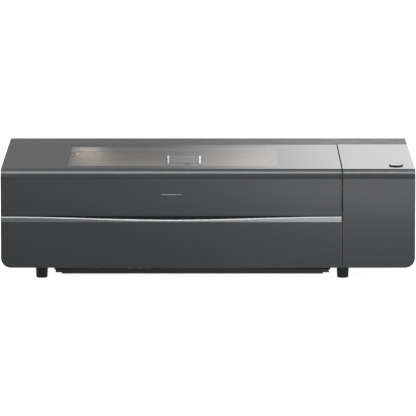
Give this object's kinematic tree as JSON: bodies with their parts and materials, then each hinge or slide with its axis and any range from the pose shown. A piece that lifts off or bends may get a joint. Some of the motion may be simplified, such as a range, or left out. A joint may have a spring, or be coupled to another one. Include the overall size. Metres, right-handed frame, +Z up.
{
  "type": "desktop laser cutter",
  "caption": "Low, wide desktop laser cutter with a glazed lifting lid, a drop-down front door, a side tower and a pull-out crumb tray.",
  "frame": {"origin": "on the floor, under the middle of the footprint", "axes": "+X to the right, +Y to the back, +Z up; the front door faces -Y"},
  "size_m": [1, 0.64, 0.271],
  "materials": {
    "housing": "satin, dark warm grey, fine grain",
    "top_cover": "matte grey, fine grain",
    "glass": "clear in the window, glossy black print elsewhere",
    "trim": "brushed and anodised silver",
    "steel": "bead-blasted, matte",
    "plate": "powder coated, dark grey",
    "frame": "matte warm grey",
    "chamber": "powder coated, warm grey",
    "tray": "powder coated, fine texture",
    "rubber": "matte",
    "plastic": "matte black",
    "grey_plastic": "matte light grey",
    "light": "white diffuser, smooth",
    "belt": "toothed rubber",
    "tube_glass": "clear borosilicate",
    "board": "green solder mask"
  },
  "bodies": {
    "base": {"left_side_panel": "housing", "right_side_panel": "housing", "rear_panel": "housing", "tower_front_cover": "housing", "rear_top_cover": "top_cover", "tower_top_panel": "glass", "front_trim": "trim", "slat_bed": "steel", "y_rail_left": "steel", "y_rail_right": "steel", "lid_hinge_barrel": "steel", "mirror_stand": "steel", "bed_rail_left": "steel", "bed_rail_right": "steel", "base_frame": "plate", "front_crossmember": "frame", "power_supply": "frame", "inner_rear_wall": "chamber", "partition_wall": "chamber", "foot_front_left": "rubber", "foot_front_right": "rubber", "foot_rear_left": "rubber", "foot_rear_right": "rubber", "button_bezel": "plastic", "y_motor": "plastic", "tube_stand_left": "plastic", "tube_stand_right": "plastic", "power_inlet": "plastic", "fan_housing": "plastic", "exhaust_collar": "plastic", "water_tank": "grey_plastic", "y_belt_left": "belt", "y_belt_right": "belt", "laser_tube": "tube_glass", "control_board": "board"},
    "lid": {"lid_glass": "glass", "lid_front_panel": "housing", "lid_frame": "frame", "camera_housing": "grey_plastic", "camera_lens": "plastic", "camera_light_left": "light", "camera_light_right": "light"},
    "door": {"front_door": "housing"},
    "tray": {"crumb_tray": "tray"},
    "gantry": {"gantry_beam": "steel", "gantry_end_left": "frame", "gantry_end_right": "frame", "gantry_mirror": "steel", "x_motor": "plastic", "x_belt": "belt"},
    "head": {"head_carriage": "plastic"},
    "focus": {"focus_tube": "steel"},
    "button": {"start_button": "light"},
    "rocker": {"rocker_switch": "plastic"},
    "exhaust_fan": {"fan_rotor": "plastic"},
    "y_drive": {"y_drive_shaft": "steel"},
    "y_idler_l": {"y_idler_left": "steel"},
    "y_idler_r": {"y_idler_right": "steel"},
    "x_drive": {"x_drive_pulley": "steel"},
    "x_idle": {"x_idler": "steel"}
  },
  "joints": [
    {"name": "lid_hinge", "type": "hinge", "parent": "base", "child": "lid", "pos_m": [0, 0.177, 0.266], "axis": [-1, 0, 0], "range_deg": [0, 65]},
    {"name": "door_hinge", "type": "hinge", "parent": "base", "child": "door", "pos_m": [0, -0.318, 0.0315], "axis": [1, 0, 0], "range_deg": [0, 90]},
    {"name": "tray_slide", "type": "slide", "parent": "base", "child": "tray", "axis": [0, -1, 0], "range_m": [0, 0.35]},
    {"name": "gantry_slide", "type": "slide", "parent": "base", "child": "gantry", "axis": [0, -1, 0], "range_m": [0, 0.3]},
    {"name": "head_slide", "type": "slide", "parent": "gantry", "child": "head", "axis": [1, 0, 0], "range_m": [0, 0.6]},
    {"name": "focus_slide", "type": "slide", "parent": "head", "child": "focus", "axis": [0, 0, -1], "range_m": [0, 0.02]},
    {"name": "button_press", "type": "slide", "parent": "base", "child": "button", "axis": [0, 0, -1], "range_m": [0, 0.0015], "stiffness_N_per_m": 400, "springref_m": -0.001},
    {"name": "rocker_tilt", "type": "hinge", "parent": "base", "child": "rocker", "pos_m": [0.449, 0.313, 0.074], "axis": [1, 0, 0], "range_deg": [0, 16]},
    {"name": "fan_spin", "type": "hinge", "parent": "base", "child": "exhaust_fan", "pos_m": [0.2, 0.281, 0.13], "axis": [0, 1, 0], "continuous": true},
    {"name": "y_drive_turn", "type": "hinge", "parent": "base", "child": "y_drive", "pos_m": [0, 0.155, 0.155], "axis": [1, 0, 0], "continuous": true},
    {"name": "y_idler_left_turn", "type": "hinge", "parent": "base", "child": "y_idler_l", "pos_m": [0, -0.28, 0.155], "axis": [1, 0, 0], "continuous": true},
    {"name": "y_idler_right_turn", "type": "hinge", "parent": "base", "child": "y_idler_r", "pos_m": [0, -0.28, 0.155], "axis": [1, 0, 0], "continuous": true},
    {"name": "x_drive_turn", "type": "hinge", "parent": "gantry", "child": "x_drive", "pos_m": [0.212, 0.103, 0.162], "axis": [0, 1, 0], "continuous": true},
    {"name": "x_idler_turn", "type": "hinge", "parent": "gantry", "child": "x_idle", "pos_m": [-0.44, 0.103, 0.162], "axis": [0, 1, 0], "continuous": true}
  ],
  "couplings": [
    {"joint": "y_drive_turn", "follows": "gantry_slide", "rad_per_m": 91.3},
    {"joint": "y_idler_left_turn", "follows": "gantry_slide", "rad_per_m": 91.3},
    {"joint": "y_idler_right_turn", "follows": "gantry_slide", "rad_per_m": 91.3},
    {"joint": "x_drive_turn", "follows": "head_slide", "rad_per_m": 111.7},
    {"joint": "x_idler_turn", "follows": "head_slide", "rad_per_m": 111.7}
  ]
}
